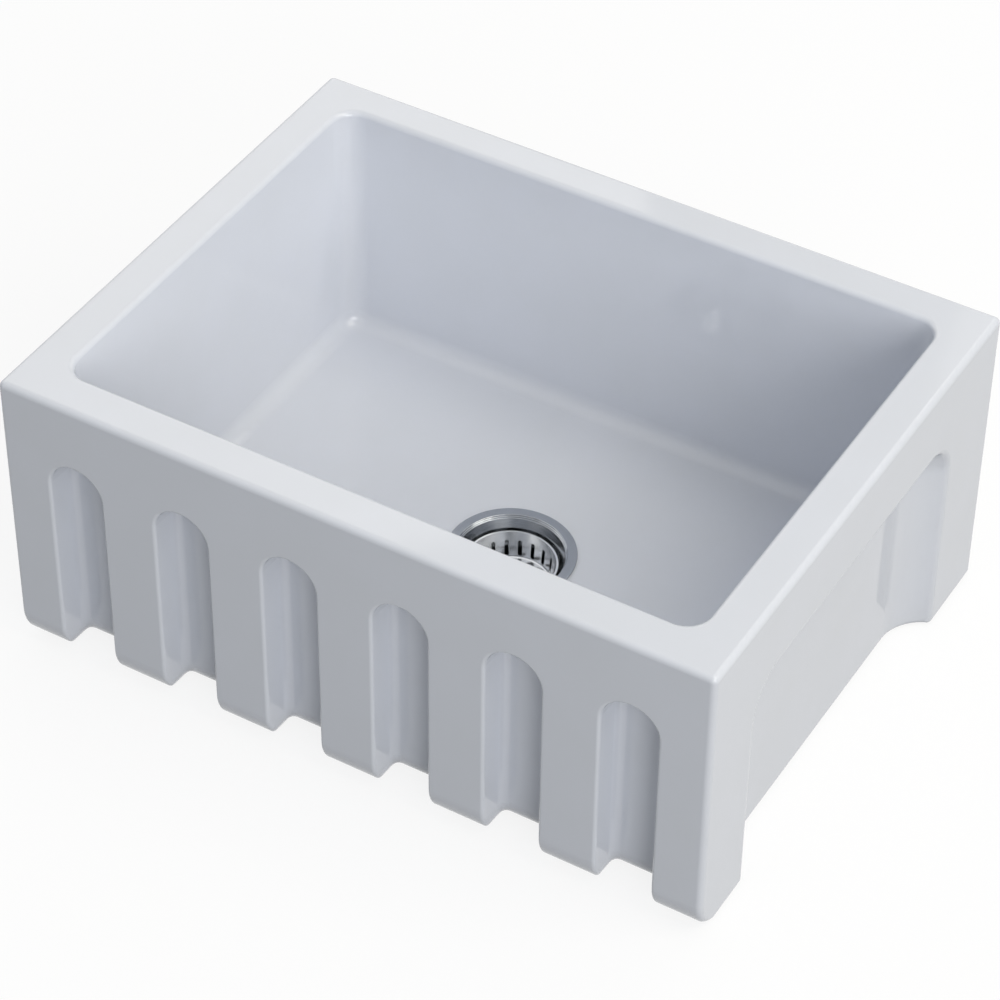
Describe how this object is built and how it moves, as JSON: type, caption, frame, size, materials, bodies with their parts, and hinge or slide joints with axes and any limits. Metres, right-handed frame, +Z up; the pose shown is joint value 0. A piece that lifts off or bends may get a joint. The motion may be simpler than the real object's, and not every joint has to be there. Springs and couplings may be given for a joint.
{
  "type": "farmhouse apron front sink",
  "caption": "Deep rectangular apron front sink in glazed fireclay, with arched flutes in the apron, recessed sides and a lift-out basket strainer.",
  "frame": {"origin": "middle of the sink's footprint, on the plane of its base, which stands on the cabinet", "axes": "+X to the user's right along the width, +Y from the apron to the back, +Z up out of the bowl"},
  "size_m": [0.61, 0.463, 0.2917],
  "materials": {
    "glazed_fireclay": "gloss",
    "white_sealant": "satin",
    "polished_steel": "polished",
    "black_rubber": "matte",
    "fibre_ring": "matte",
    "cast_zinc": "satin",
    "plated_brass": "satin",
    "stamped_steel": "satin",
    "basket_steel": "polished",
    "turned_knob": "polished",
    "stud_steel": "satin",
    "retainer_steel": "satin",
    "stopper_rubber": "satin",
    "washer_steel": "satin",
    "nut_steel": "satin",
    "catch_plastic": "matte"
  },
  "bodies": {
    "sink": {"basin": "glazed_fireclay", "flange_seal": "white_sealant", "strainer_body": "polished_steel", "floor_gasket": "black_rubber", "friction_ring": "fibre_ring", "locknut": "cast_zinc", "outlet": "plated_brass", "crossbar": "stamped_steel"},
    "strainer_basket": {"basket": "basket_steel", "lift_knob": "turned_knob", "stud": "stud_steel", "seal_retainer": "retainer_steel", "stopper_seal": "stopper_rubber", "seal_washer": "washer_steel", "retaining_nut": "nut_steel", "catch": "catch_plastic"}
  },
  "joints": [
    {"name": "basket_lift", "type": "slide", "parent": "sink", "child": "strainer_basket", "axis": [0, 0, 1], "range_m": [0, 0.285]}
  ]
}
